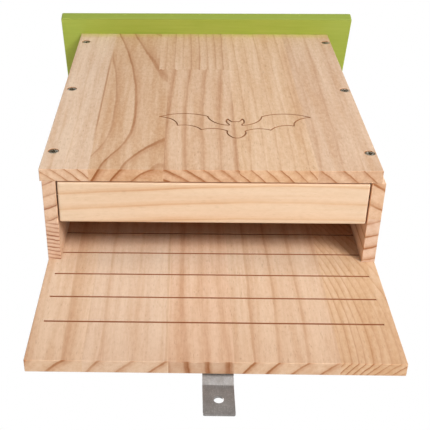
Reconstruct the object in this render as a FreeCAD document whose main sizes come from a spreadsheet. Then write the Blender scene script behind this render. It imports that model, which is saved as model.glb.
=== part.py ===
"""Bat box for a wall or a tree: a flat pine box, open underneath, with a painted sloping roof.

The row frame has its origin at the upper hanging hole, on the face that lies against the wall.
X runs to the right as seen from the front, Y runs back into the wall and Z runs up. Millimetres.
"""
import os

import FreeCAD
import Part
import Sketcher

doc = FreeCAD.newDocument("bat_box")

# ---------------------------------------------------------------- driving dimensions
SIZES = {
    # the carcass
    "box_width": 300,  # over both side boards
    "side_depth": 82,  # clear depth between the front and the back board
    "front_height": 353,  # outer face of the front board, mouth to roof
    "landing_drop": 141.5,  # how far the back board runs on below the mouth
    "side_thick": 12,
    "front_thick": 12,
    "back_thick": 12,
    "front_trim": 2,  # the front board is this much narrower than the box
    "front_shift": -2.6,  # and sits a little to the left of the sides
    "edge_ease": 0.6,  # sanded edges of the bare boards
    # the ladder of saw cuts that the bats climb
    "groove_wide": 2,
    "groove_deep": 2,
    "groove_inset": 9,  # from the ends of a cut to the sides of the box
    "groove_pitch": 34.6,
    "groove_first": 48.5,  # lowest cut, above the end of the back board
    # the roof
    "roof_pitch": 17,  # degrees, falling to the front
    "roof_thick": 12,
    "roof_side_lap": 23.8,
    "roof_shift": -0.8,  # the roof sits a little to the left of the sides
    "roof_front_lap": 20.5,
    "roof_ease": 1,
    "roof_corner": 2,
    # the flap that closes the front half of the mouth
    "flap_thick": 12,
    "flap_deep": 41,
    "flap_end_gap": 1.1,
    "flap_front_gap": 0.8,
    "flap_ease": 2,
    "pivot_back": 16,  # pivot axis behind the flap's front edge, at half its thickness
    "pivot_head": 6.5,
    "pivot_shank": 3.5,
    "pivot_long": 30,
    # the two hangers, bent from one size of flat bar
    "hanger_shift": 3,  # to the right of the box's middle
    "hanger_wide": 25,
    "hanger_thick": 2,
    "hanger_step": 10,  # how far the bar is set back towards the wall
    "hanger_run": 14,  # length of the sloping part, measured along the box
    "hanger_fixed": 60,  # the leg that is screwed to the box
    "hanger_free": 32,  # the leg with the hanging hole
    "hanger_bend": 2,  # inside radius of both bends
    "hanger_corner": 1.5,
    "hanging_hole": 8,
    "hole_to_end": 16,
    "lower_hole_drop": 18.2,  # hanging hole below the end of the back board
    "upper_hole_rise": 33,  # hanging hole above the top of the back board
    # countersunk screws that join the boards
    "screw_head": 9,
    "screw_shank": 4.5,
    "screw_long": 35,
    "screw_point": 6,
    "screw_sunk": 0.6,  # the head lies this far below the wood
    "screw_room": 0.05,  # all round a screw in its hole
    "hole_spare": 0.6,  # a blind hole runs on this far past the screw's point
    "screw_inset": 0.68,  # centre line of a row, as a share of the side's thickness
    "recess_wide": 4.6,
    "recess_slot": 1.3,
    "recess_deep": 2,
    "row_first": 35,  # lowest screw of a row, above the mouth
    "row_last": 29,  # highest screw, below the top of the front
    "row_count": 3,
    "roof_row_first": 43.5,  # front screw of a roof row, from the roof's front edge
    "roof_row_pitch": 50,
    "roof_row_count": 2,
    # pan head screws that hold the hangers
    "pan_head": 8,
    "pan_high": 2.6,
    "pan_shank": 4,
    "pan_long": 10,
    "pan_from_end": 12,  # from the end of the fixed leg
    "pan_pitch": 32,
    "pan_count": 2,
    # the outline cut into the front board
    "bat_span": 146,
    "bat_cut_wide": 1.5,
    "bat_cut_deep": 0.9,
    "bat_right": 26,  # middle of the outline, to the right of the middle of the front
    "bat_rise": 88,  # and above the mouth
}

sheet = doc.addObject("Spreadsheet::Sheet", "dims")
for row, (alias, value) in enumerate(SIZES.items(), start=1):
    sheet.set(f"A{row}", alias)
    sheet.set(f"B{row}", str(value))
    sheet.setAlias(f"B{row}", alias)
doc.recompute()


def size(expression):
    """The value in millimetres or degrees of an expression in the sheet's aliases."""
    result = sheet.evalExpression(named(expression))
    return float(getattr(result, "Value", result))


def named(expression):
    """An expression with each alias turned into a reference to its cell."""
    words = []
    word = ""
    for letter in str(expression) + " ":
        if letter.isalnum() or letter in "_.":
            word += letter
            continue
        words.append("dims." + word if word in SIZES else word)
        words.append(letter)
        word = ""
    return "".join(words).strip()


# ---------------------------------------------------------------- shared places
BACK_REAR = "-(hanger_thick + hanger_step)"
BACK_FRONT = f"({BACK_REAR} - back_thick)"
FRONT_REAR = f"({BACK_FRONT} - side_depth)"
FRONT_FACE = f"({FRONT_REAR} - front_thick)"
BOX_DEEP = "(front_thick + side_depth + back_thick)"
BACK_TOP = f"(front_height + {BOX_DEEP} * tan(roof_pitch))"
MOUTH = f"(-({BACK_TOP} + upper_hole_rise))"
ROW_IN = "(screw_inset * side_thick)"
ROW_PITCH = "((front_height - row_first - row_last) / (row_count - 1))"
GROOVES = "(floor((front_height + landing_drop - groove_first) / groove_pitch) + 1)"
ROOF_CORNER_Y = f"({FRONT_FACE} - roof_front_lap)"
ROOF_CORNER_Z = f"({MOUTH} + front_height - roof_front_lap * tan(roof_pitch))"
UPRIGHT = FreeCAD.Vector(0, 0, 1)
ACROSS = FreeCAD.Vector(1, 0, 0)


def row_x(hand):
    """Centre line of the screws in one side board."""
    return f"({hand} * (box_width / 2 - {ROW_IN}))"


def seat_wide(kind):
    """Countersunk seat for a kind of screw, wide enough to sink its head."""
    return f"({kind}_head + 2 * screw_sunk + 2 * screw_room)"


def hole_wide(kind):
    """Hole for a kind of screw."""
    return f"({kind}_shank + 2 * screw_room)"


def bind(thing, **expressions):
    """Ties properties of an object to the sheet. Two underscores stand for a dot."""
    for key, expression in expressions.items():
        thing.setExpression(key.replace("__", "."), named(expression))


def new_body(label, x, y, z, axis=None, angle="0"):
    """A PartDesign body whose Placement follows the sheet; x counts from the middle of the box."""
    body = doc.addObject("PartDesign::Body", label)
    body.Label = label
    body.AllowCompound = True
    bind(
        body,
        Placement__Base__x=f"{x} - hanger_shift",
        Placement__Base__y=y,
        Placement__Base__z=z,
    )
    if axis:
        body.Placement.Rotation = FreeCAD.Rotation(axis, size(angle))
        bind(body, Placement__Rotation__Angle=angle)
    return body


def new_sketch(body, name, plane, lift="0"):
    """A sketch on one of the body's own origin planes, lifted along the plane's normal."""
    sketch = body.newObject("Sketcher::SketchObject", name)
    found = [f for f in body.Origin.OriginFeatures if f.Role == plane]
    sketch.AttachmentSupport = (found[0], [""])
    sketch.MapMode = "FlatFace"
    bind(sketch, AttachmentOffset__Base__z=lift)
    return sketch


def place(sketch, geometry, point, along, up):
    """Fixes a point of a sketch at a distance from the sketch's origin."""
    for kind, expression in (("DistanceX", along), ("DistanceY", up)):
        index = sketch.addConstraint(
            Sketcher.Constraint(kind, -1, 1, geometry, point, size(expression))
        )
        sketch.renameConstraint(index, f"{kind}_{geometry}_{point}")
        sketch.setExpression(f"Constraints[{index}]", named(expression))


def polygon(body, name, plane, corners, lift="0"):
    """A closed outline whose corners are expressions in the sheet's aliases."""
    sketch = new_sketch(body, name, plane, lift)
    spots = [FreeCAD.Vector(size(along), size(up), 0) for along, up in corners]
    for here, there in zip(spots, spots[1:] + spots[:1]):
        sketch.addGeometry(Part.LineSegment(here, there), False)
    count = len(corners)
    for index, (along, up) in enumerate(corners):
        sketch.addConstraint(
            Sketcher.Constraint("Coincident", index, 2, (index + 1) % count, 1)
        )
        place(sketch, index, 1, along, up)
    return sketch


def circles(body, name, plane, centres, diameter, lift="0"):
    """A sketch of equal circles."""
    return circles_on(new_sketch(body, name, plane, lift), centres, diameter)


def circles_on(sketch, centres, diameter):
    """Equal circles added to a sketch."""
    for index, (along, up) in enumerate(centres):
        middle = FreeCAD.Vector(size(along), size(up), 0)
        radius = size(f"{diameter} / 2")
        sketch.addGeometry(Part.Circle(middle, FreeCAD.Vector(0, 0, 1), radius), False)
        place(sketch, index, 3, along, up)
        limit = sketch.addConstraint(Sketcher.Constraint("Radius", index, radius))
        sketch.setExpression(f"Constraints[{limit}]", named(f"{diameter} / 2"))
    return sketch


def pad(body, sketch, length, both_ways=False, reverse=False):
    """Raises a sketch into a solid."""
    feature = body.newObject("PartDesign::Pad", sketch.Name + "_pad")
    feature.Profile = sketch
    feature.Midplane = both_ways
    feature.Reversed = reverse
    bind(feature, Length=length)
    doc.recompute()
    return feature


def pocket(body, sketch, depth, reverse=False):
    """Cuts a sketch into the body, and stops if nothing was cut."""
    before = body.Shape.Volume
    feature = body.newObject("PartDesign::Pocket", sketch.Name + "_cut")
    feature.Profile = sketch
    feature.Reversed = reverse
    bind(feature, Length=depth)
    doc.recompute()
    if body.Shape.Volume > before - 0.1:
        raise RuntimeError(f"{feature.Name} cuts nothing")
    return feature


def screw_holes(body, sketch, depth, kind="screw", seat=False, reverse=False):
    """Round holes for screws, with countersunk seats where the heads lie."""
    doc.recompute()
    before = body.Shape.Volume
    hole = body.newObject("PartDesign::Hole", sketch.Name + "_hole")
    hole.Profile = sketch
    doc.recompute()
    hole.Threaded = False
    hole.DepthType = "Dimension"
    hole.DrillPoint = "Flat"
    hole.Reversed = reverse
    if seat:
        hole.HoleCutType = "Countersink"
        hole.HoleCutCustomValues = True
        hole.HoleCutCountersinkAngle = 90
        bind(hole, HoleCutDiameter=seat_wide(kind))
    bind(hole, Diameter=hole_wide(kind), Depth=depth)
    doc.recompute()
    if body.Shape.Volume > before - 0.1:
        raise RuntimeError(f"{hole.Name} cuts nothing")
    return hole


def ease(body, radius, pick=None):
    """Rounds all edges of the body, or those that pick chooses."""
    base = body.Tip
    feature = body.newObject("PartDesign::Fillet", base.Name + "_eased")
    if pick:
        chosen = [
            f"Edge{number}"
            for number, edge in enumerate(base.Shape.Edges, start=1)
            if pick(edge)
        ]
        feature.Base = (base, chosen)
    else:
        feature.Base = (base, [""])
        feature.UseAllEdges = True
    bind(feature, Radius=radius)
    doc.recompute()
    return feature


def repeat(body, features, count, length, axis):
    """A straight row of features along one of the body's origin axes."""
    pattern = body.newObject("PartDesign::LinearPattern", body.Name + "_row")
    found = [f for f in body.Origin.OriginFeatures if f.Role == axis]
    pattern.Originals = features
    pattern.Direction = (found[0], [""])
    bind(pattern, Length=length, Occurrences=count)
    body.Tip = pattern
    doc.recompute()
    return pattern


def spaced(first, pitch, count):
    """Distances of the members of an even row."""
    return [f"({first} + {step} * {pitch})" for step in range(int(size(count)))]


def row_heights():
    """Heights of the screws of a front or back row above the mouth."""
    return spaced("row_first", ROW_PITCH, "row_count")


# ---------------------------------------------------------------- boards
def front_panel():
    """The front: bevelled at the top to meet the roof, six countersunk holes, a bat cut in outline."""
    body = new_body("front_panel", "front_shift", FRONT_FACE, MOUTH)
    outline = polygon(body, "front_side_view", "YZ_Plane", [
        ("0", "0"),
        ("front_thick", "0"),
        ("front_thick", "front_height + front_thick * tan(roof_pitch)"),
        ("0", "front_height"),
    ])
    pad(body, outline, "box_width - front_trim", both_ways=True)
    ease(body, "edge_ease")
    centres = [
        (f"({row_x(hand)} - front_shift / 2)", height)
        for hand in (-1, 1)
        for height in row_heights()
    ]
    holes = circles(body, "front_holes", "XZ_Plane", centres, hole_wide("screw"))
    screw_holes(body, holes, "front_thick + 1", seat=True)
    pocket(body, bat_sketch(body), "bat_cut_deep")
    return body


# Right half of the bat from the brow down to the tail, in half spans: across, up, and how far the
# line that ends there bows outwards. The left half is its mirror image.
BAT_HALF = [
    (0.000, 0.165, 0.000),
    (0.045, 0.160, 0.004),
    (0.095, 0.250, -0.006),
    (0.105, 0.110, 0.016),
    (0.085, 0.050, -0.010),
    (0.360, 0.330, -0.070),
    (1.000, 0.310, 0.095),
    (0.760, 0.040, -0.070),
    (0.450, -0.090, -0.065),
    (0.115, -0.120, -0.055),
    (0.070, -0.290, 0.022),
    (0.000, -0.330, 0.012),
]


def bat_wire(scale):
    """The closed outline of a flying bat at the given half span."""
    left_half = [(-here[0], here[1], there[2]) for here, there in zip(BAT_HALF, BAT_HALF[1:])]
    outline = BAT_HALF + left_half[:0:-1]
    corners = [FreeCAD.Vector(across * scale, up * scale, 0) for across, up, bow in outline]
    edges = []
    for index, there in enumerate(corners):
        here = corners[index - 1]
        bow = outline[index][2] * scale
        if bow:
            chord = there - here
            outwards = FreeCAD.Vector(-chord.y, chord.x, 0).normalize()
            edges.append(Part.Arc(here, here + chord * 0.5 + outwards * bow, there).toShape())
        else:
            edges.append(Part.LineSegment(here, there).toShape())
    return Part.Wire(edges)


def bat_sketch(body):
    """Two closed lines, one on each side of the bat's outline, that bound the narrow cut."""
    sketch = new_sketch(body, "bat_line", "XZ_Plane")
    bind(
        sketch,
        AttachmentOffset__Base__x="bat_right",
        AttachmentOffset__Base__y="bat_rise",
    )
    shape = Part.Face(bat_wire(size("bat_span / 2")))
    half = size("bat_cut_wide / 2")
    for line in (shape.makeOffset2D(half), shape.makeOffset2D(-half)):
        for edge in line.Edges:
            if isinstance(edge.Curve, Part.Circle):
                arc = Part.ArcOfCircle(edge.Curve, edge.FirstParameter, edge.LastParameter)
                sketch.addGeometry(arc, False)
            else:
                ends = [vertex.Point for vertex in edge.Vertexes]
                sketch.addGeometry(Part.LineSegment(ends[0], ends[1]), False)
    doc.recompute()
    return sketch


def back_panel():
    """The back: runs on below the mouth as a landing board and carries the ladder cuts."""
    body = new_body("back_panel", "0", BACK_REAR, MOUTH)
    outline = polygon(body, "back_side_view", "YZ_Plane", [
        ("0", "-landing_drop"),
        ("0", BACK_TOP),
        ("-back_thick", f"{BACK_TOP} - back_thick * tan(roof_pitch)"),
        ("-back_thick", "-landing_drop"),
    ])
    pad(body, outline, "box_width", both_ways=True)
    ease(body, "edge_ease")
    left, right = "groove_inset - box_width / 2", "box_width / 2 - groove_inset"
    low, high = "groove_first - landing_drop", "groove_first - landing_drop + groove_wide"
    slot = polygon(body, "ladder_cut", "XZ_Plane", [
        (left, low), (right, low), (right, high), (left, high),
    ], lift="back_thick")
    first = pocket(body, slot, "groove_deep")
    repeat(body, [first], GROOVES, f"groove_pitch * ({GROOVES} - 1)", "Z_Axis")
    centres = [(row_x(hand), height) for hand in (-1, 1) for height in row_heights()]
    holes = circles(body, "back_holes", "XZ_Plane", centres, hole_wide("screw"))
    screw_holes(body, holes, "back_thick + 1", seat=True, reverse=True)
    hanger_screw_holes(body)
    return body


def pan_heights(up):
    """Heights of a hanger's two screws from its hanging hole, up or down."""
    last = "(hanger_free - hole_to_end + hanger_run + hanger_fixed - pan_from_end)"
    return [f"({up} * ({last} - {step} * pan_pitch))" for step in range(int(size("pan_count")))]


def hanger_screw_holes(body):
    """Pilot holes in the rear of the back board for both hangers."""
    top_hole = f"{BACK_TOP} + upper_hole_rise"
    low_hole = "-landing_drop - lower_hole_drop"
    upper = [("hanger_shift", f"({top_hole} + {height})") for height in pan_heights(-1)]
    lower = [("hanger_shift", f"({low_hole} + {height})") for height in pan_heights(1)]
    sketch = circles(body, "hanger_pilots", "XZ_Plane", upper + lower, hole_wide("pan"))
    pocket(body, sketch, "pan_long - hanger_thick + hole_spare", reverse=True)


def side_board(label, hand):
    """A side: sloped at the top, with end-on holes for the front, back and roof screws."""
    body = new_body(label, f"{hand} * box_width / 2", FRONT_REAR, MOUTH)
    low = "front_height + front_thick * tan(roof_pitch)"
    outline = polygon(body, label + "_view", "YZ_Plane", [
        ("0", "0"),
        ("side_depth", "0"),
        ("side_depth", f"{low} + side_depth * tan(roof_pitch)"),
        ("0", low),
    ])
    pad(body, outline, "side_thick", reverse=hand > 0)
    ease(body, "edge_ease")
    deep = "screw_long + screw_sunk + hole_spare"
    inside = f"(-{hand} * {ROW_IN})"
    spots = [(f"({inside} + front_shift / 2)", height) for height in row_heights()]
    holes = circles(body, label + "_front", "XZ_Plane", spots, hole_wide("screw"))
    screw_holes(body, holes, f"{deep} - front_thick")
    spots = [(inside, height) for height in row_heights()]
    holes = circles(body, label + "_back", "XZ_Plane", spots, hole_wide("screw"), "-side_depth")
    screw_holes(body, holes, f"{deep} - back_thick", reverse=True)
    slope = new_sketch(body, label + "_top", "XY_Plane", "front_height - roof_front_lap * tan(roof_pitch)")
    slope.AttachmentOffset.Rotation = FreeCAD.Rotation(ACROSS, size("roof_pitch"))
    bind(
        slope,
        AttachmentOffset__Base__y="-front_thick - roof_front_lap",
        AttachmentOffset__Rotation__Angle="roof_pitch",
    )
    spots = [(inside, along) for along in roof_heights()]
    screw_holes(body, circles_on(slope, spots, hole_wide("screw")), f"{deep} - roof_thick")
    spot = [("flap_front_gap + pivot_back", "flap_thick / 2")]
    holes = circles(body, label + "_pivot", "YZ_Plane", spot, hole_wide("pivot"))
    screw_holes(body, holes, "side_thick + 1", "pivot", seat=True, reverse=hand < 0)
    return body


def roof_heights():
    """Distances of a roof row's screws up the slope from the roof's front edge."""
    return spaced("roof_row_first", "roof_row_pitch", "roof_row_count")


def roof():
    """The roof: a plain board with rounded edges, laid on the slope and lapping the front and sides."""
    body = new_body("roof", "roof_shift", ROOF_CORNER_Y, ROOF_CORNER_Z, ACROSS, "roof_pitch")
    half = "(box_width / 2 + roof_side_lap)"
    length = f"((roof_front_lap + {BOX_DEEP}) / cos(roof_pitch))"
    outline = polygon(body, "roof_plan", "XY_Plane", [
        (f"-{half}", "0"), (half, "0"), (half, length), (f"-{half}", length),
    ])
    pad(body, outline, "roof_thick")
    ease(body, "roof_corner", lies_along_z)
    ease(body, "roof_ease")
    spots = [(f"{row_x(hand)} - roof_shift", along) for hand in (-1, 1) for along in roof_heights()]
    holes = circles(body, "roof_holes", "XY_Plane", spots, hole_wide("screw"), "roof_thick")
    screw_holes(body, holes, "roof_thick + 1", seat=True)
    return body


def flap():
    """The flap: a loose board between the sides that swings down on two screws."""
    body = new_body("bottom_flap", "0", f"{FRONT_REAR} + flap_front_gap", MOUTH)
    outline = polygon(body, "flap_view", "YZ_Plane", [
        ("0", "0"), ("flap_deep", "0"), ("flap_deep", "flap_thick"), ("0", "flap_thick"),
    ])
    wide = "(box_width - 2 * side_thick - 2 * flap_end_gap)"
    pad(body, outline, wide, both_ways=True)
    ease(body, "flap_ease")
    deep = "pivot_long + screw_sunk + hole_spare - side_thick - flap_end_gap"
    spot = [("pivot_back", "flap_thick / 2")]
    for label, hand in (("flap_left", -1), ("flap_right", 1)):
        lift = f"{hand} * {wide} / 2"
        holes = circles(body, label, "YZ_Plane", spot, hole_wide("pivot"), lift)
        screw_holes(body, holes, deep, "pivot", reverse=hand < 0)
    return body


# ---------------------------------------------------------------- hardware
def hanger(label, up, hole_height):
    """A flat bar bent twice: one leg on the box, the other on the wall with its hanging hole."""
    body = new_body(label, "hanger_shift", "0", hole_height)
    shift = "(hanger_thick * tan(atan(hanger_step / hanger_run) / 2))"
    near = "(hanger_free - hole_to_end)"
    corners = [
        ("-hanger_thick", "hole_to_end"),
        ("-hanger_thick", f"-{near}"),
        ("-hanger_thick - hanger_step", f"-{near} - hanger_run"),
        ("-hanger_thick - hanger_step", f"-{near} - hanger_run - hanger_fixed"),
        ("-hanger_step", f"-{near} - hanger_run - hanger_fixed"),
        ("-hanger_step", f"-{near} - hanger_run - {shift}"),
        ("0", f"-{near} - {shift}"),
        ("0", "hole_to_end"),
    ]
    outline = polygon(body, label + "_view", "YZ_Plane", [(y, f"{up} * ({z})") for y, z in corners])
    pad(body, outline, "hanger_wide", both_ways=True)
    inner = {(corners[index], "hanger_bend") for index in (1, 5)}
    outer = {(corners[index], "hanger_bend + hanger_thick") for index in (2, 6)}
    for (y, z), radius in sorted(inner) + sorted(outer):
        spot = (size(y), size(f"{up} * ({z})"))
        ease(body, radius, lambda edge, spot=spot: lies_along_x(edge, spot))
    ease(body, "hanger_corner", lies_along_y)
    sketch = circles(body, label + "_hole", "XZ_Plane", [("0", "0")], "hanging_hole")
    pocket(body, sketch, "hanger_thick", reverse=True)
    spots = [("0", height) for height in pan_heights(-up)]
    pilots = circles(body, label + "_pilots", "XZ_Plane", spots, hole_wide("pan"), "hanger_step")
    pocket(body, pilots, "hanger_thick", reverse=True)
    return body


def lies_along_x(edge, spot):
    """True for a straight edge across the bar that stands at a given place of the side view."""
    ends = [vertex.Point for vertex in edge.Vertexes]
    if len(ends) != 2 or abs(ends[0].y - ends[1].y) > 1e-3 or abs(ends[0].z - ends[1].z) > 1e-3:
        return False
    return abs(ends[0].y - spot[0]) < 1e-3 and abs(ends[0].z - spot[1]) < 1e-3


def lies_along_y(edge):
    """True for the short edges through the bar's thickness at its four outer corners."""
    return lies_along(edge, FreeCAD.Vector(0, 1, 0))


def lies_along_z(edge):
    """True for the edges through the thickness of a board drawn flat."""
    return lies_along(edge, UPRIGHT)


def lies_along(edge, direction):
    """True for a straight edge in a given direction."""
    ends = [vertex.Point for vertex in edge.Vertexes]
    return len(ends) == 2 and (ends[0] - ends[1]).cross(direction).Length < 1e-3


def countersunk_screw(body, name, kind):
    """One screw along +Y with the flat of its head on the body's XZ plane."""
    cone = f"(({kind}_head - {kind}_shank) / 2)"
    profile = polygon(body, name + "_profile", "XY_Plane", [
        ("0", "0"),
        (f"{kind}_head / 2", "0"),
        (f"{kind}_shank / 2", cone),
        (f"{kind}_shank / 2", f"{kind}_long - screw_point"),
        ("0", f"{kind}_long"),
    ])
    return turned(body, profile)


def pan_screw(body, name):
    """One pan head screw along -Y with the underside of its head on the body's XZ plane."""
    profile = polygon(body, name + "_profile", "XY_Plane", [
        ("0", "pan_high"),
        ("pan_head / 2 - 1", "pan_high"),
        ("pan_head / 2", "pan_high / 2"),
        ("pan_head / 2", "0"),
        ("pan_shank / 2", "0"),
        ("pan_shank / 2", "3 - pan_long"),
        ("0", "-pan_long"),
    ])
    return turned(body, profile)


def turned(body, profile):
    """A full turn of a profile about the body's Y axis."""
    feature = body.newObject("PartDesign::Revolution", profile.Name + "_turned")
    feature.Profile = profile
    axis = [f for f in body.Origin.OriginFeatures if f.Role == "Y_Axis"]
    feature.ReferenceAxis = (axis[0], [""])
    feature.Angle = 360
    doc.recompute()
    return feature


def cross_recess(body, name, lift="0", reverse=False):
    """The cross in a screw head."""
    arm, slot = "recess_wide / 2", "recess_slot / 2"
    corners = [
        (arm, slot), (slot, slot), (slot, arm), (f"-{slot}", arm),
        (f"-{slot}", slot), (f"-{arm}", slot), (f"-{arm}", f"-{slot}"), (f"-{slot}", f"-{slot}"),
        (f"-{slot}", f"-{arm}"), (slot, f"-{arm}"), (slot, f"-{slot}"), (arm, f"-{slot}"),
    ]
    sketch = polygon(body, name + "_cross", "XZ_Plane", corners, lift)
    return pocket(body, sketch, "recess_deep", reverse)


def screw_row(body, pitch, count):
    """A straight row of countersunk screws in one node, along the body's Z."""
    head = countersunk_screw(body, body.Name, "screw")
    cross = cross_recess(body, body.Name)
    repeat(body, [head, cross], count, f"{pitch} * ({count} - 1)", "Z_Axis")
    return body


def pan_row(label, z):
    """A pair of pan head screws in one node, driven from the rear."""
    body = new_body(label, "hanger_shift", "-hanger_step", z)
    head = pan_screw(body, label)
    cross = cross_recess(body, label, "-pan_high", reverse=True)
    repeat(body, [head, cross], "pan_count", "pan_pitch * (pan_count - 1)", "Z_Axis")
    return body


def front_screws(label, hand):
    """Screws through the front into the edge of a side."""
    x = f"{row_x(hand)} + front_shift / 2"
    body = new_body(label, x, f"{FRONT_FACE} + screw_sunk", f"{MOUTH} + row_first")
    return screw_row(body, ROW_PITCH, "row_count")


def back_screws(label, hand):
    """Screws through the back into the edge of a side; the row is built downwards."""
    z = f"{MOUTH} + front_height - row_last"
    body = new_body(label, row_x(hand), f"{BACK_REAR} - screw_sunk", z, ACROSS, "180")
    return screw_row(body, ROW_PITCH, "row_count")


def roof_screws(label, hand):
    """Screws down through the roof into the top of a side, square to the slope."""
    up = "(roof_thick - screw_sunk)"
    y = f"{ROOF_CORNER_Y} + roof_row_first * cos(roof_pitch) - {up} * sin(roof_pitch)"
    z = f"{ROOF_CORNER_Z} + roof_row_first * sin(roof_pitch) + {up} * cos(roof_pitch)"
    body = new_body(label, row_x(hand), y, z, -ACROSS, "90 - roof_pitch")
    return screw_row(body, "roof_row_pitch", "roof_row_count")


def pivot_screw(label, hand):
    """A screw through a side into the end of the flap."""
    x = f"{hand} * (box_width / 2 - screw_sunk)"
    y = f"{FRONT_REAR} + flap_front_gap + pivot_back"
    body = new_body(label, x, y, f"{MOUTH} + flap_thick / 2", UPRIGHT * hand, "90")
    countersunk_screw(body, label, "pivot")
    cross_recess(body, label)
    return body


def all_screws():
    """Every fastener; equal screws in one line share a node."""
    made = []
    for side, hand in (("left", -1), ("right", 1)):
        made.append(front_screws(f"front_screws_{side}", hand))
        made.append(back_screws(f"back_screws_{side}", hand))
        made.append(roof_screws(f"roof_screws_{side}", hand))
        made.append(pivot_screw(f"pivot_screw_{side}", hand))
    upper = f"{BACK_TOP} + upper_hole_rise + {MOUTH}"
    made.append(pan_row("upper_hanger_screws", f"{upper} + {pan_heights(-1)[0]}"))
    lower = f"{MOUTH} - landing_drop - lower_hole_drop"
    made.append(pan_row("lower_hanger_screws", f"{lower} + {pan_heights(1)[-1]}"))
    return made


# ---------------------------------------------------------------- build and write
def main():
    """Builds every sub-part, checks it and writes its STEP file."""
    nodes = [front_panel(), back_panel(), side_board("left_side", -1), side_board("right_side", 1)]
    nodes += [roof(), flap()]
    nodes.append(hanger("upper_hanger", 1, "0"))
    nodes.append(hanger("lower_hanger", -1, f"{MOUTH} - landing_drop - lower_hole_drop"))
    nodes += all_screws()
    doc.recompute()
    for thing in doc.Objects:
        if {"Invalid", "Error"} & set(thing.State):
            raise RuntimeError(f"{thing.Name} failed: {thing.State}")
    for node in nodes:
        if node.Shape.isNull() or not node.Shape.isValid():
            raise RuntimeError(f"{node.Label} has no valid shape")
    os.makedirs("parts", exist_ok=True)
    for node in nodes:
        node.Shape.exportStep(f"parts/{node.Label}.step")
        print(node.Label, len(node.Shape.Solids), round(node.Shape.Volume))


main()
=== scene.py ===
import math

import bpy
from mathutils import Matrix, Vector


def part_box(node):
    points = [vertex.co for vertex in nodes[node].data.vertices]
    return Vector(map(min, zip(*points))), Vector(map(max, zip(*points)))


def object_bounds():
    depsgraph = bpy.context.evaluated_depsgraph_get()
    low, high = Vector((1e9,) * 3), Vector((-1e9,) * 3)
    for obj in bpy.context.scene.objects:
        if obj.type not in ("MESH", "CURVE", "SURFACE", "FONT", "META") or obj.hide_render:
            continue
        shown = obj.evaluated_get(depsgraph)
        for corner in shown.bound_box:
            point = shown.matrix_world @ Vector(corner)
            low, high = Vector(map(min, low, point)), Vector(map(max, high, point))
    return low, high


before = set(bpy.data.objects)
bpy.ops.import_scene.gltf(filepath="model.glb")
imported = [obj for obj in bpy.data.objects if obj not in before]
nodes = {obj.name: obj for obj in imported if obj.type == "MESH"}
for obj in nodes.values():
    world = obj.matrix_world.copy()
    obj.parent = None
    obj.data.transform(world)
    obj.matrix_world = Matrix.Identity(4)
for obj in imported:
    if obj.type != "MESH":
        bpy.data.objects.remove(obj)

cadLow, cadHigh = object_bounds()
print("frame loaded:", len(nodes), "nodes")


def newMaterial(name):
    mat = bpy.data.materials.new(name)
    mat.use_nodes = True
    tree = mat.node_tree
    tree.nodes.clear()
    out = tree.nodes.new("ShaderNodeOutputMaterial")
    skin = tree.nodes.new("ShaderNodeBsdfPrincipled")
    tree.links.new(skin.outputs[0], out.inputs[0])
    return mat, tree, skin


def feed(tree, socket, value):
    # a socket is linked, anything else is typed in
    if isinstance(value, bpy.types.NodeSocket):
        tree.links.new(value, socket)
    else:
        socket.default_value = value


def calc(tree, operation, first, second=0.0, third=0.0, clamp=False):
    node = tree.nodes.new("ShaderNodeMath")
    node.operation = operation
    node.use_clamp = clamp
    for socket, value in zip(node.inputs, (first, second, third)):
        feed(tree, socket, value)
    return node.outputs[0]


def total(tree, first, *others):
    for value in others:
        first = calc(tree, "ADD", first, value)
    return first


def product(tree, first, *others):
    for value in others:
        first = calc(tree, "MULTIPLY", first, value)
    return first


def between(tree, value, low, high):
    # 1 inside the band, 0 outside
    return product(tree, calc(tree, "GREATER_THAN", value, low), calc(tree, "LESS_THAN", value, high))


def splitMm(tree, place):
    # the three parts of a place, in mm
    split = tree.nodes.new("ShaderNodeSeparateXYZ")
    feed(tree, split.inputs[0], place)
    return [calc(tree, "MULTIPLY", part, 1000.0) for part in split.outputs]


def objectPlace(tree):
    return tree.nodes.new("ShaderNodeTexCoord").outputs["Object"]


def joinAxes(tree, parts, factors=(1.0, 1.0, 1.0)):
    # a place made of three parts, each squeezed by its own factor
    node = tree.nodes.new("ShaderNodeCombineXYZ")
    for socket, part, factor in zip(node.inputs, parts, factors):
        feed(tree, socket, part if factor == 1.0 else calc(tree, "MULTIPLY", part, factor))
    return node.outputs[0]


def noise(tree, where, scale=1.0, detail=2.0, roughness=0.5):
    node = tree.nodes.new("ShaderNodeTexNoise")
    feed(tree, node.inputs["Vector"], where)
    node.inputs["Scale"].default_value = scale
    node.inputs["Detail"].default_value = detail
    node.inputs["Roughness"].default_value = roughness
    return node.outputs[0]


def remap(tree, value, fromLow, fromHigh, toLow, toHigh):
    node = tree.nodes.new("ShaderNodeMapRange")
    for socket, number in zip(node.inputs[:5], (value, fromLow, fromHigh, toLow, toHigh)):
        feed(tree, socket, number)
    return node.outputs[0]


def ramp(tree, value, stops, stepped=False):
    node = tree.nodes.new("ShaderNodeValToRGB")
    feed(tree, node.inputs[0], value)
    band = node.color_ramp
    band.interpolation = "CONSTANT" if stepped else "EASE"
    while len(band.elements) > 1:
        band.elements.remove(band.elements[-1])
    for index, (place, colour) in enumerate(stops):
        stop = band.elements[0] if index == 0 else band.elements.new(place)
        stop.position = place
        stop.color = (*colour, 1.0)
    return node.outputs[0]


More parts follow.
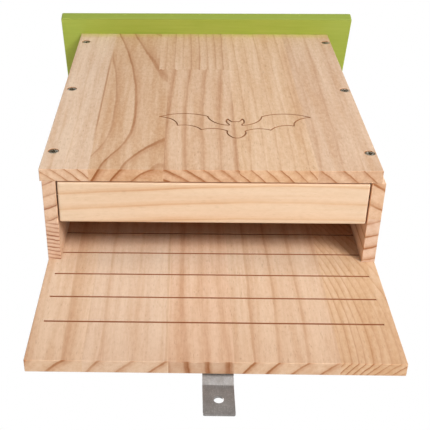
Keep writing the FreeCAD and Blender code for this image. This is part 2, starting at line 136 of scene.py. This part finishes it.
def blendColour(tree, amount, first, second, mode="MIX"):
    node = tree.nodes.new("ShaderNodeMix")
    node.data_type = "RGBA"
    node.blend_type = mode
    feed(tree, node.inputs["Factor"], amount)
    for name, value in (("A", first), ("B", second)):
        socket = [s for s in node.inputs if s.name == name and s.type == "RGBA"][0]
        feed(tree, socket, value if isinstance(value, bpy.types.NodeSocket) else (*value, 1.0))
    return [s for s in node.outputs if s.type == "RGBA"][0]


def raised(tree, height, strength, depth):
    node = tree.nodes.new("ShaderNodeBump")
    feed(tree, node.inputs["Height"], height)
    node.inputs["Strength"].default_value = strength
    node.inputs["Distance"].default_value = depth
    return node.outputs[0]


def paint(nodeName, material):
    mesh = nodes[nodeName].data
    if not mesh.materials:
        mesh.materials.append(material)
    for index in range(len(mesh.materials)):
        mesh.materials[index] = material


# bare pine; the names that end in Share are multiplied over the wood, the rest are mixed in
pineTones = {
    "pale": (0.80, 0.62, 0.46),
    "tan": (0.54, 0.30, 0.15),
    "fibre": (0.38, 0.19, 0.09),
    "fleck": (0.25, 0.12, 0.055),
    "lateShare": (0.69, 0.46, 0.265),  # the dark wood that ends a year's growth
    "coreShare": (0.74, 0.66, 0.66),  # the darkest line of it
    # how much darker the board grows towards its lower end
    "lowEndShare": (0.86, 0.80, 0.76),
    "endShare": (1.0, 0.93, 0.87),
    # painted shade for the wood inside the box
    "paintedShadeShare": (0.90, 0.52, 0.30),
    # painted shade on the faces that look into the box
    "paintedInnerShare": (1.0, 0.95, 0.86),
    # painted reflection of the green roof
    "roofReflection": (0.48, 0.44, 0.07),
    "cut": (0.36, 0.13, 0.052),
    # painted shade for the walls of the grooves inside the box
    "paintedShadeCut": (0.085, 0.026, 0.01),
}

# depths and lengths in mm, the rest are shares
pineFinish = {
    "skin": 0.12,  # a point nearer to a face than this is on the face, not on the wall of a cut
    "endSkin": 0.4,  # and this near to an end it is end grain
    "edgeSkin": 0.5,  # and this near to an edge it is on the edge
    "innerSkin": 0.3,
    "slopedTop": 4,  # the upper end is sawn at the roof's slope, so cuts stop this much lower there
    "scorch": 0.92,  # how strongly the walls of a cut are browned
    "glueHalf": 0.5, "gluePale": 0.5,  # half the width of a glue line, and how pale it is
    # the first of these: how strongly the green roof's reflection is painted on
    "roofReflection": 1.5, "fleck": 0.3, "coreFalloff": 2.5,
    "jointFade": (60, 70),  # how gently a dark joint comes in and goes out
    "shadeOver": 75,  # how gently the painted shade comes in
    "shadeDeep": 2.2,  # it reaches down into the grooves
    "shadeEdge": 12,  # and stops where the sides stand
    "cutShade": 0.8,
    "endContrast": 0.8,  # end grain shows its rings at least this plainly
    "endDarker": 0.8,  # and darker by this share
    "rough": (0.66, 0.54), "shine": 0.2, "relief": 0.35, "reliefDeep": 0.0004,
}

# how dark the wood is from one ring to the next, for a clear ring and for a blurred one
sharpRing = [(0.0, 0.0), (0.3, 0.0), (0.62, 0.14), (0.82, 0.36), (0.91, 1.0), (0.955, 0.92), (1.0, 0.0)]
softRing = [(0.0, 0.55), (0.14, 0.08), (0.35, 0.0), (0.62, 0.16), (0.8, 0.8), (0.92, 1.0), (1.0, 0.55)]

# A board is glued up from staves that each keep their own rings. Lengths are in mm from its low corner.
# axes: across the staves, along the grain, through the thickness; figure: how lively the small figure is
# dipHigh: how far up the sweep of the rings at the lower end goes; cutMargin: where cuts may start
# Each stave: to is its right edge, pith the middle of its tree, gap the way from ring to ring, start where
# the first ring falls, bow and bowAt how the grain curves along the board, dip how far it sweeps aside at
# the lower end, contrast how dark a ring is, soft how blurred, wood its tone, end the tone of its end grain
frontBoard = {
    "axes": "XZY", "seed": 3.0, "dipHigh": 42, "cutMargin": 3.0, "figure": 1.0,
    "roofReflectionFrom": 338,  # the roof's green reflection is painted on from here to the top
    "cut": (0.29, 0.12, 0.043),  # the outline cut into it is a little darker than the saw cuts
    # where a ring runs out along a glue joint and darkens it
    "darkJoints": [
        {"at": 42.7, "wide": 1.5, "from": 40, "to": 300, "strength": 0.75},
        {"at": 239.3, "wide": 4.5, "from": 60, "to": 345, "strength": 0.38},
    ],
    "staves": [
        {"to": 42, "pith": (-90, 140), "gap": 7.1, "bow": 0, "bowAt": 0, "dip": 0,
         "start": 0.75, "contrast": 0.22, "soft": 0.3, "wood": (0.66, 0.49, 0.36), "end": 0.93},
        {"to": 108, "pith": (112, 44), "gap": 14.5, "bow": -4.0, "bowAt": 110, "dip": -14.5,
         "start": 0.14, "contrast": 1.0, "soft": 0.12, "wood": (0.535, 0.325, 0.185), "end": 0.93},
        {"to": 174, "pith": (0, 215), "gap": 8.6, "bow": -1.2, "bowAt": 60, "dip": 0,
         "start": 0.94, "contrast": 0.80, "soft": 0.75, "wood": (0.60, 0.395, 0.255), "end": 0.93},
        {"to": 241, "pith": (0, 215), "gap": 8.6, "bow": 0.5, "bowAt": 120, "dip": 0,
         "start": 0.94, "contrast": 0.50, "soft": 0.1, "wood": (0.63, 0.42, 0.26), "end": 0.93},
        {"to": 298, "pith": (60, 230), "gap": 12.0, "bow": 0.8, "bowAt": 200, "dip": 0,
         "start": 0.03, "contrast": 0.44, "soft": 0.2, "wood": (0.575, 0.385, 0.26), "end": 0.93},
    ],
    # an end-to-end joint with short teeth, and the wood that stands above it in one stretch of the board
    "butt": {"from": 98, "to": 175, "height": 237, "tooth": 2.5, "toothHigh": 3.0, "luck": 0.62,
             "stave": {"pith": (-60, 120), "gap": 7.7, "bow": 1.2, "bowAt": 260, "dip": 0, "start": 0.30,
                       "contrast": 0.85, "soft": 0.25, "wood": (0.58, 0.375, 0.23), "end": 0.93}},
}
backBoard = {
    "axes": "XZY", "seed": 11.0, "dipHigh": 48, "cutMargin": 3.0, "figure": 0.85,
    "glueAt": 113,  # a glue joint that shows as a pale line
    "darkerBelow": 115,  # the board is a little darker towards its lower end, up to here
    "paintedShadeFrom": 148,  # inside the box, from here on, shade is painted into the wood as a deeper colour
    "staves": [
        {"to": 45, "pith": (70, 60), "gap": 19.5, "bow": 0.5, "bowAt": 60, "dip": 0,
         "start": 0.23, "contrast": 0.60, "soft": 0.35, "wood": (0.69, 0.50, 0.355), "end": 0.86},
        {"to": 113, "pith": (230, 160), "gap": 16.6, "bow": 0.3, "bowAt": 60, "dip": 0,
         "start": 0.87, "contrast": 0.55, "soft": 0.3, "wood": (0.69, 0.515, 0.385), "end": 0.85},
        {"to": 165, "pith": (-100, 25), "gap": 16.0, "bow": 0.3, "bowAt": 60, "dip": -3,
         "start": 0.74, "contrast": 0.50, "soft": 1.0, "wood": (0.665, 0.445, 0.31), "end": 0.76},
        {"to": 248, "pith": (330, 120), "gap": 15.2, "bow": -0.4, "bowAt": 60, "dip": 0,
         "start": 0.35, "contrast": 0.55, "soft": 0.3, "wood": (0.665, 0.475, 0.335), "end": 0.88},
        {"to": 300, "pith": (380, 110), "gap": 4.5, "bow": -9.5, "bowAt": 30, "dip": 0,
         "start": 0.20, "contrast": 0.66, "soft": 0.3, "wood": (0.62, 0.405, 0.24), "end": 0.88},
    ],
}
leftBoard = {
    "axes": "YZX", "seed": 23.0, "dipHigh": 48, "cutMargin": 4.0, "figure": 0.9,
    "innerFace": 12,  # where through the thickness the face lies that looks into the box
    "lateShare": (0.66, 0.49, 0.38),
    "staves": [
        {"to": 41, "pith": (-150, -60), "gap": 11.3, "bow": 0.5, "bowAt": 60, "dip": 0,
         "start": 0.33, "contrast": 0.80, "soft": 0.3, "wood": (0.76, 0.565, 0.425), "end": 0.88},
        {"to": 82, "pith": (-200, 50), "gap": 4.2, "bow": 0.5, "bowAt": 60, "dip": 0,
         "start": 0.10, "contrast": 0.8, "soft": 1.0, "wood": (0.73, 0.525, 0.41), "end": 0.88},
    ],
}
rightBoard = {
    "axes": "YZX", "seed": 31.0, "dipHigh": 48, "cutMargin": 4.0, "figure": 0.9,
    # its inner face is painted lighter, as bounced light
    "innerFace": 0, "paintedInnerShare": (1.30, 1.10, 0.90),
    "staves": [
        {"to": 36, "pith": (-120, 75), "gap": 17.0, "bow": 0.5, "bowAt": 60, "dip": 0,
         "start": 0.60, "contrast": 0.45, "soft": 0.2, "wood": (0.735, 0.525, 0.37), "end": 0.88},
        {"to": 82, "pith": (-150, -60), "gap": 12.3, "bow": 0.5, "bowAt": 60, "dip": 0,
         "start": 0.55, "contrast": 0.85, "soft": 0.3, "wood": (0.765, 0.58, 0.47), "end": 0.88},
    ],
}
flapBoard = {
    "axes": "YXZ", "seed": 47.0, "dipHigh": 48, "cutMargin": 4.0, "figure": 0.4,
    "endGrain": 0.0,  # its ends are hardly seen and stay plain
    "edgeBurn": 0.6,  # how strongly the saw has browned its edges
    "lateShare": (0.86, 0.60, 0.36),
    "staves": [
        {"to": 41, "pith": (-200, 40), "gap": 15.6, "bow": -1.9, "bowAt": 185, "dip": 0,
         "start": 0.56, "contrast": 0.65, "soft": 0.45, "wood": (0.66, 0.49, 0.34), "end": 0.88},
    ],
}

# a stave's numbers reach the shader as colours, each number divided by its own span to come within 0..1
spans = {"pith": 1000, "gap": 40, "bow": 40, "bowAt": 1000, "dip": 100}


def staveColours(stave):
    pithAcross, pithThrough = stave["pith"]
    share = {name: stave[name] / spans[name] for name in ("gap", "bow", "bowAt", "dip")}
    return (
        (pithAcross / spans["pith"] + 0.5, pithThrough / spans["pith"] + 0.5, share["gap"]),
        (share["bow"] + 0.5, share["bowAt"], share["dip"] + 0.5),
        (stave["start"], stave["contrast"], stave["soft"]),
        stave["wood"],
        (stave["end"],) * 3,
    )


def boardPlace(tree, nodeName, board):
    # where a point of the board lies, in mm from its low corner, and how big the board is
    low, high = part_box(nodeName)
    order = ["XYZ".index(axis) for axis in board["axes"]]
    moved = tree.nodes.new("ShaderNodeVectorMath")
    moved.operation = "SUBTRACT"
    feed(tree, moved.inputs[0], objectPlace(tree))
    moved.inputs[1].default_value = low
    parts = splitMm(tree, moved.outputs[0])
    place = dict(zip(("across", "along", "through"), (parts[i] for i in order)))
    place.update(zip(("width", "length", "thick"), ((high[i] - low[i]) * 1000 for i in order)))
    return place


def aboveButt(tree, place, butt):
    # 1 above the toothed end-to-end joint, 0 below it and beside it
    teeth = product(tree, calc(tree, "PINGPONG", place["across"], butt["tooth"]),
                    butt["toothHigh"] / butt["tooth"])
    above = calc(tree, "GREATER_THAN", total(tree, place["along"], teeth), butt["height"])
    return product(tree, above, between(tree, place["across"], butt["from"], butt["to"]))


def pickStave(tree, place, board):
    # which stave a point is in, and that stave's numbers
    key = calc(tree, "DIVIDE", place["across"], place["width"])
    steps = [[], [], [], [], []]
    seeds = []  # a number that no two staves share, so that no two look alike
    left = 0.0
    for number, stave in enumerate(board["staves"]):
        for listed, colour in zip(steps, staveColours(stave)):
            listed.append((left, colour))
        seeds.append((left, ((number * 0.37 + 0.13) % 1.0,) * 3))
        left = stave["to"] / place["width"]
    picked = [ramp(tree, key, listed, stepped=True) for listed in steps]
    luck = ramp(tree, key, seeds, stepped=True)
    if "butt" in board:
        above = aboveButt(tree, place, board["butt"])
        upper = staveColours(board["butt"]["stave"])
        picked = [blendColour(tree, above, old, new) for old, new in zip(picked, upper)]
        luck = blendColour(tree, above, luck, (board["butt"]["luck"],) * 3)
    parts = []
    for colour in picked[:3]:
        pick = tree.nodes.new("ShaderNodeSeparateColor")
        feed(tree, pick.inputs[0], colour)
        parts.append(pick.outputs)

    def spread(part, name):
        # back from 0..1 to a span with its middle at 0
        half = spans[name] / 2
        return remap(tree, part, 0, 1, -half, half)

    return {
        "pithAcross": spread(parts[0][0], "pith"), "pithThrough": spread(parts[0][1], "pith"),
        "gap": product(tree, parts[0][2], spans["gap"]),
        "bow": spread(parts[1][0], "bow"), "bowAt": product(tree, parts[1][1], spans["bowAt"]),
        "dip": spread(parts[1][2], "dip"),
        "start": parts[2][0], "contrast": parts[2][1], "soft": parts[2][2],
        "wood": picked[3], "end": picked[4],
        "seed": calc(tree, "MULTIPLY_ADD", luck, 90.0, board["seed"]),
    }


def grain(tree, place, stave, side, run, detail=2.0, roughness=0.5):
    # a noise drawn out along the wood: side is its pace across the board, run its pace along it
    where = joinAxes(tree, [product(tree, place["across"], side), product(tree, place["along"], run),
                            calc(tree, "MULTIPLY_ADD", place["through"], side, stave["seed"])])
    return noise(tree, where, 1.0, detail, roughness)


def ringPlace(tree, place, stave, board):
    # how many rings out from the pith a point is, with the grain curved along the board and uneven
    sideways = calc(tree, "SUBTRACT", place["across"], stave["pithAcross"])
    inward = calc(tree, "SUBTRACT", place["through"], stave["pithThrough"])
    squares = total(tree, product(tree, sideways, sideways), product(tree, inward, inward))
    reach = calc(tree, "SQRT", squares)
    up = product(tree, calc(tree, "SUBTRACT", place["along"], stave["bowAt"]), 0.01)
    rise = calc(tree, "DIVIDE", place["along"], board["dipHigh"])
    sweep = calc(tree, "EXPONENT", product(tree, rise, rise, -1.0))
    slow = remap(tree, grain(tree, place, stave, 0.014, 0.0035, 1.0), 0.2, 0.8, -2.4, 2.4)
    quick = remap(tree, grain(tree, place, stave, 0.16, 0.022), 0.2, 0.8, -0.55, 0.55)
    reach = total(tree, reach, product(tree, up, up, stave["bow"]), product(tree, sweep, stave["dip"]),
                  slow, quick)
    return calc(tree, "ADD", calc(tree, "DIVIDE", reach, stave["gap"]), stave["start"])


def lateWood(tree, place, stave, board, end):
    # how dark the rings make a point: every year differs a little, and end grain shows them plainly
    rings = ringPlace(tree, place, stave, board)
    turn = calc(tree, "FRACT", rings)
    sharp, broad = [ramp(tree, turn, [(stop, (value,) * 3) for stop, value in shape])
                    for shape in (sharpRing, softRing)]
    late = blendColour(tree, stave["soft"], sharp, broad)
    year = tree.nodes.new("ShaderNodeTexWhiteNoise")
    year.noise_dimensions = "1D"
    feed(tree, year.inputs["W"], calc(tree, "ADD", calc(tree, "FLOOR", rings), stave["seed"]))
    strength = remap(tree, year.outputs[0], 0, 1, 0.6, 1.0)
    fade = remap(tree, grain(tree, place, stave, 0.04, 0.008), 0.3, 0.7, 0.55, 1.0)
    contrast = calc(tree, "MAXIMUM", stave["contrast"], product(tree, end, pineFinish["endContrast"]))
    late = product(tree, late, product(tree, strength, contrast, fade))
    darker = calc(tree, "MULTIPLY_ADD", end, pineFinish["endDarker"], 1.0)
    late = calc(tree, "MULTIPLY", late, darker, clamp=True)
    fadeIn, fadeOut = pineFinish["jointFade"]
    for joint in board.get("darkJoints", []):
        away = calc(tree, "ABSOLUTE", calc(tree, "SUBTRACT", place["across"], joint["at"]))
        near = remap(tree, away, 0.2, joint["wide"], joint["strength"], 0.0)
        lower = remap(tree, place["along"], joint["from"], joint["from"] + fadeIn, 0.0, 1.0)
        upper = remap(tree, place["along"], joint["to"] - fadeOut, joint["to"], 1.0, 0.0)
        late = calc(tree, "MAXIMUM", late, product(tree, near, product(tree, lower, upper)))
    return late


def woodBody(tree, stave, board, band, streak, mottle, fibre):
    # the plain wood with its broad bands, streaks and fibres
    layers = [
        # noise, from, to, how much, towards which tone
        (band, 0.4, 0.7, 0.4, "pale"),
        (band, 0.5, 0.25, 0.32, "tan"),
        (streak, 0.45, 0.75, 0.42, "tan"),
        (streak, 0.5, 0.25, 0.3, "pale"),
        (mottle, 0.45, 0.7, 0.25, "pale"),
        (mottle, 0.5, 0.3, 0.14, "fibre"),
        (fibre, 0.7, 0.3, 0.15, "fibre"),
    ]
    body = stave["wood"]
    for value, empty, full, amount, tone in layers:
        share = remap(tree, value, empty, full, 0.0, amount * board["figure"])
        body = blendColour(tree, share, body, pineTones[tone])
    return body


def cutWalls(tree, place, board):
    # 1 on the walls of every cut: grooves, outline and screw seats
    margin = board["cutMargin"]
    skin = pineFinish["skin"]
    return product(tree, between(tree, place["through"], skin, place["thick"] - skin),
                   between(tree, place["across"], margin, place["width"] - margin),
                   between(tree, place["along"], margin,
                           place["length"] - margin - pineFinish["slopedTop"]))


def wearAndPaintedLight(tree, body, place, board, cut, face):
    # what the saw has done to the board, its darker lower end, and the shade and bounced light painted
    # inside the box
    across, along, through = place["across"], place["along"], place["through"]
    scorch = product(tree, cut, pineFinish["scorch"])
    body = blendColour(tree, scorch, body, board.get("cut", pineTones["cut"]))
    if "darkerBelow" in board:
        # the board grows a little darker towards its lower end
        lowEnd = product(tree, remap(tree, along, board["darkerBelow"], 0, 0.0, 1.0), face)
        body = blendColour(tree, lowEnd, body, pineTones["lowEndShare"], "MULTIPLY")
    if "edgeBurn" in board:
        edge = pineFinish["edgeSkin"]
        flat = product(tree, between(tree, across, edge, place["width"] - edge),
                       between(tree, along, edge, place["length"] - edge))
        burn = product(tree, calc(tree, "SUBTRACT", 1.0, flat), board["edgeBurn"])
        body = blendColour(tree, burn, body, pineTones["cut"])
    if "paintedShadeFrom" in board:
        # painted shade: the wood inside the box is painted deeper in colour, and the walls of its grooves
        # darker still
        begin, stop = board["paintedShadeFrom"], pineFinish["shadeEdge"]
        paintedShade = remap(tree, along, begin, begin + pineFinish["shadeOver"], 0.0, 1.0)
        inside = product(tree, calc(tree, "LESS_THAN", through, pineFinish["shadeDeep"]),
                         between(tree, across, stop, place["width"] - stop))
        paintedShade = product(tree, paintedShade, inside)
        body = blendColour(tree, paintedShade, body, pineTones["paintedShadeShare"], "MULTIPLY")
        shadeInCuts = product(tree, paintedShade, cut, pineFinish["cutShade"])
        body = blendColour(tree, shadeInCuts, body, pineTones["paintedShadeCut"])
    # painted light and shade on the face that looks into the box: browned as shade, or on the right board
    # brightened as bounced light
    if "innerFace" in board:
        near = pineFinish["innerSkin"]
        inner = between(tree, through, board["innerFace"] - near, board["innerFace"] + near)
        share = board.get("paintedInnerShare", pineTones["paintedInnerShare"])
        body = blendColour(tree, inner, body, share, "MULTIPLY")
    return body


def pineBoard(name, nodeName, board):
    mat, tree, skin = newMaterial(name)
    place = boardPlace(tree, nodeName, board)
    stave = pickStave(tree, place, board)
    across, along = place["across"], place["along"]
    face = between(tree, along, pineFinish["endSkin"], place["length"] - pineFinish["endSkin"])
    end = calc(tree, "SUBTRACT", board.get("endGrain", 1.0), face, clamp=True)
    late = lateWood(tree, place, stave, board, end)

    band = grain(tree, place, stave, 0.085, 0.0035)
    streak = grain(tree, place, stave, 0.21, 0.012, 4.0, 0.62)
    fibre = grain(tree, place, stave, 1.3, 0.09, 3.0, 0.65)
    mottle = grain(tree, place, stave, 0.33, 0.16, 3.0, 0.7)
    # short resin flecks
    fleck = remap(tree, grain(tree, place, stave, 1.1, 0.16, 1.0), 0.64, 0.75, 0.0, 1.0)
    body = woodBody(tree, stave, board, band, streak, mottle, fibre)
    if "glueAt" in board:
        half = pineFinish["glueHalf"]
        line = between(tree, across, board["glueAt"] - half, board["glueAt"] + half)
        body = blendColour(tree, product(tree, line, pineFinish["gluePale"]), body, pineTones["pale"])
    endTone = blendColour(tree, 1.0, stave["end"], pineTones["endShare"], "MULTIPLY")
    body = blendColour(tree, end, body, endTone, "MULTIPLY")
    if "roofReflectionFrom" in board:
        # painted reflection: a little of the green roof's reflection is painted on the top of the board
        roofReflection = remap(tree, along, board["roofReflectionFrom"], place["length"], 0.0, pineFinish["roofReflection"])
        body = blendColour(tree, product(tree, roofReflection, band), body, pineTones["roofReflection"])
    body = blendColour(tree, late, body, board.get("lateShare", pineTones["lateShare"]), "MULTIPLY")
    core = calc(tree, "POWER", late, pineFinish["coreFalloff"])
    body = blendColour(tree, core, body, pineTones["coreShare"], "MULTIPLY")
    dots = product(tree, fleck, pineFinish["fleck"] * board["figure"])
    body = blendColour(tree, dots, body, pineTones["fleck"])
    body = wearAndPaintedLight(tree, body, place, board, cutWalls(tree, place, board), face)

    feed(tree, skin.inputs["Base Color"], body)
    feed(tree, skin.inputs["Roughness"], remap(tree, fibre, 0.3, 0.7, *pineFinish["rough"]))
    skin.inputs["Specular IOR Level"].default_value = pineFinish["shine"]
    height = total(tree, product(tree, late, 0.5), product(tree, fibre, 0.6))
    height = calc(tree, "SUBTRACT", height, product(tree, fleck, 0.4))
    relief = raised(tree, height, pineFinish["relief"], pineFinish["reliefDeep"])
    feed(tree, skin.inputs["Normal"], relief)
    return mat


boards = {
    "front_panel": ("frontPine", frontBoard),
    "back_panel": ("backPine", backBoard),
    "left_side": ("leftPine", leftBoard),
    "right_side": ("rightPine", rightBoard),
    "bottom_flap": ("flapPine", flapBoard),
}
for nodeName, (name, board) in boards.items():
    paint(nodeName, pineBoard(name, nodeName, board))
print("pine boards done:", len(boards))


roofPaint = {
    "green": (0.335, 0.405, 0.062),
    "thin": (0.40, 0.44, 0.085),
    "deep": (0.25, 0.33, 0.045),
    # the next two: painted shade on the front edge, its tone and how deep the band reaches
    "edge": (0.245, 0.30, 0.05),
    "shadedEdgeDepth": 4.3,
    "rough": (0.5, 0.62), "shine": 0.15, "relief": 0.3, "reliefDeep": 0.0004,
}


def paintedRoof():
    mat, tree, skin = newMaterial("greenPaint")
    place = splitMm(tree, objectPlace(tree))
    brush = noise(tree, joinAxes(tree, place, (0.02, 0.45, 0.45)), 1.0, 4.0, 0.6)
    cloud = noise(tree, joinAxes(tree, place, (0.015, 0.03, 0.03)), 1.0, 3.0, 0.6)
    speck = noise(tree, joinAxes(tree, place), 0.9, 2.0, 0.7)
    body = blendColour(tree, remap(tree, cloud, 0.3, 0.7, 0.0, 0.7), roofPaint["green"], roofPaint["thin"])
    body = blendColour(tree, remap(tree, brush, 0.3, 0.7, 0.35, 0.0), body, roofPaint["deep"])
    # painted shade: the front edge, which the lamps light more, is painted a little deeper in colour
    low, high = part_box("roof")
    edge = calc(tree, "LESS_THAN", place[1], low[1] * 1000 + roofPaint["shadedEdgeDepth"])
    body = blendColour(tree, product(tree, edge, 0.9), body, roofPaint["edge"])
    feed(tree, skin.inputs["Base Color"], body)
    feed(tree, skin.inputs["Roughness"], remap(tree, speck, 0.3, 0.7, *roofPaint["rough"]))
    skin.inputs["Specular IOR Level"].default_value = roofPaint["shine"]
    height = total(tree, product(tree, brush, 0.8), product(tree, speck, 0.25))
    relief = raised(tree, height, roofPaint["relief"], roofPaint["reliefDeep"])
    feed(tree, skin.inputs["Normal"], relief)
    return mat


paint("roof", paintedRoof())
print("roof done")


# streak: how fast the drawn lines change down the piece; speck: how strong its dark dots and its painted
# glints are
hangerSteel = {
    "bright": (0.31, 0.295, 0.285), "dull": (0.22, 0.2, 0.19), "paintedGlint": (0.85, 0.82, 0.74),
    "rough": 0.5, "metallic": 0.55, "streak": 0.12, "speck": 0.1,
}
screwSteel = {
    "bright": (0.26, 0.205, 0.11), "dull": (0.07, 0.05, 0.023), "paintedGlint": (0.85, 0.82, 0.74),
    "rough": 0.42, "metallic": 0.65, "streak": 2.0, "speck": 0.9,
}


def metal(name, look):
    mat, tree, skin = newMaterial(name)
    place = splitMm(tree, objectPlace(tree))
    lines = noise(tree, joinAxes(tree, place, (2.2, 0.4, look["streak"])), 1.0, 3.0, 0.6)
    patch = noise(tree, joinAxes(tree, place), 0.12, 3.0, 0.6)
    speck = noise(tree, joinAxes(tree, place), 0.85, 2.0, 0.6)
    body = blendColour(tree, remap(tree, patch, 0.3, 0.7, 0.0, 1.0), look["bright"], look["dull"])
    body = blendColour(tree, remap(tree, lines, 0.3, 0.7, 0.0, 0.35), body, look["dull"])
    body = blendColour(tree, remap(tree, speck, 0.5, 0.4, 0.0, look["speck"]), body, look["dull"])
    # painted glints: bright dots painted into the colour
    body = blendColour(tree, remap(tree, speck, 0.54, 0.62, 0.0, look["speck"]), body, look["paintedGlint"])
    feed(tree, skin.inputs["Base Color"], body)
    skin.inputs["Metallic"].default_value = look["metallic"]
    feed(tree, skin.inputs["Roughness"],
         remap(tree, lines, 0.3, 0.7, look["rough"] - 0.07, look["rough"] + 0.1))
    feed(tree, skin.inputs["Normal"], raised(tree, lines, 0.15, 0.0001))
    return mat


hangerLook = metal("zincBar", hangerSteel)
screwLook = metal("screwMetal", screwSteel)
for nodeName in nodes:
    if "screw" in nodeName:
        paint(nodeName, screwLook)
    elif "hanger" in nodeName:
        paint(nodeName, hangerLook)
print("metal done")


# the floor lies well below the box, glows a little and fades to the plain white behind it
stage = {
    "floorDrop": 1.7, "floorSize": 24.0, "floorColour": (0.82, 0.82, 0.81),
    "floorGlow": 0.14, "fadeFrom": 1.2, "fadeTo": 4.5, "sky": 0.44,
}


def floorWhite():
    mat, tree, skin = newMaterial("floorWhite")
    skin.inputs["Base Color"].default_value = (*stage["floorColour"], 1.0)
    skin.inputs["Roughness"].default_value = 0.9
    skin.inputs["Emission Color"].default_value = (1.0, 1.0, 1.0, 1.0)
    flat = tree.nodes.new("ShaderNodeVectorMath")
    flat.operation = "MULTIPLY"
    feed(tree, flat.inputs[0], objectPlace(tree))
    flat.inputs[1].default_value = (1.0, 1.0, 0.0)
    away = tree.nodes.new("ShaderNodeVectorMath")
    away.operation = "LENGTH"
    feed(tree, away.inputs[0], flat.outputs[0])
    fade = remap(tree, away.outputs["Value"], stage["fadeFrom"], stage["fadeTo"], 0.0, 1.0)
    seen = tree.nodes.new("ShaderNodeLightPath").outputs["Is Camera Ray"]
    feed(tree, skin.inputs["Emission Strength"], total(tree, product(tree, fade, seen), stage["floorGlow"]))
    return mat


def makeFloor():
    half = stage["floorSize"] / 2
    height = cadLow.z - stage["floorDrop"]
    mesh = bpy.data.meshes.new("floor")
    corners = [(-half, -half, height), (half, -half, height), (half, half, height), (-half, half, height)]
    mesh.from_pydata(corners, [], [(0, 1, 2, 3)])
    mesh.materials.append(floorWhite())
    floor = bpy.data.objects.new("floor", mesh)
    bpy.context.scene.collection.objects.link(floor)


def makeWorld():
    # the sky lights the box softly and shows as plain white behind it
    world = bpy.data.worlds.new("studio")
    world.use_nodes = True
    tree = world.node_tree
    seen = tree.nodes["Background"]
    lighting = tree.nodes.new("ShaderNodeBackground")
    for background, strength in ((seen, 1.0), (lighting, stage["sky"])):
        background.inputs[0].default_value = (1.0, 1.0, 1.0, 1.0)
        background.inputs[1].default_value = strength
    path = tree.nodes.new("ShaderNodeLightPath")
    mix = tree.nodes.new("ShaderNodeMixShader")
    tree.links.new(path.outputs["Is Camera Ray"], mix.inputs[0])
    tree.links.new(lighting.outputs[0], mix.inputs[1])
    tree.links.new(seen.outputs[0], mix.inputs[2])
    tree.links.new(mix.outputs[0], tree.nodes["World Output"].inputs[0])
    bpy.context.scene.world = world


softLights = {
    # name: direction from the box, distance, size, watts
    "keyLight": ((0.50, -0.68, -0.58), 3.0, 1.1, 98.0),
    "backLight": ((-0.60, 0.75, 0.35), 3.0, 1.6, 60.0),
    "topLight": ((0.50, 0.12, 0.90), 3.0, 1.6, 36.0),
}


def makeLights():
    middle = (cadLow + cadHigh) / 2
    for name, (direction, distance, size, watts) in softLights.items():
        data = bpy.data.lights.new(name, "AREA")
        data.shape = "DISK"
        data.size = size
        data.energy = watts
        lamp = bpy.data.objects.new(name, data)
        lamp.location = middle + Vector(direction).normalized() * distance
        lamp.rotation_mode = "QUATERNION"
        lamp.rotation_quaternion = (-Vector(direction)).to_track_quat("-Z", "Y")
        bpy.context.scene.collection.objects.link(lamp)


cameraSetup = {
    "fromMouth": (-0.02519, -0.43679, -0.64869),  # from the middle of the back board's front face
    "elevation": 57.907,
    "yaw": 2.2018,
    "roll": 2.3586,
    "lens": 71.022,
    "shift": (0.113, 0.04065),
}


def makeCamera():
    # the camera looks up from below; its place is measured from where the mouth meets the back board
    sideLow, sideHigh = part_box("left_side")
    backLow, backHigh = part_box("back_panel")
    mouth = Vector(((backLow[0] + backHigh[0]) / 2, backLow[1], sideLow[2]))
    tip = math.radians(cameraSetup["elevation"])
    turn = Matrix.Rotation(math.radians(cameraSetup["yaw"]), 3, "Z")
    ahead = turn @ Vector((0, math.cos(tip), math.sin(tip)))
    right = turn @ Vector((1, 0, 0))
    up = right.cross(ahead)
    roll = math.radians(cameraSetup["roll"])
    rightTurned = right * math.cos(roll) + up * math.sin(roll)
    upTurned = up * math.cos(roll) - right * math.sin(roll)
    data = bpy.data.cameras.new("camera")
    data.sensor_width = 36.0
    data.lens = cameraSetup["lens"]
    data.shift_x, data.shift_y = cameraSetup["shift"]
    data.clip_start = 0.01
    camera = bpy.data.objects.new("camera", data)
    facing = Matrix((rightTurned, upTurned, -ahead)).transposed()
    camera.matrix_world = Matrix.Translation(mouth + Vector(cameraSetup["fromMouth"])) @ facing.to_4x4()
    bpy.context.scene.collection.objects.link(camera)
    bpy.context.scene.camera = camera


makeFloor()
makeWorld()
makeLights()
makeCamera()
bpy.context.scene.view_settings.view_transform = "Standard"
print("stage, light and camera done")
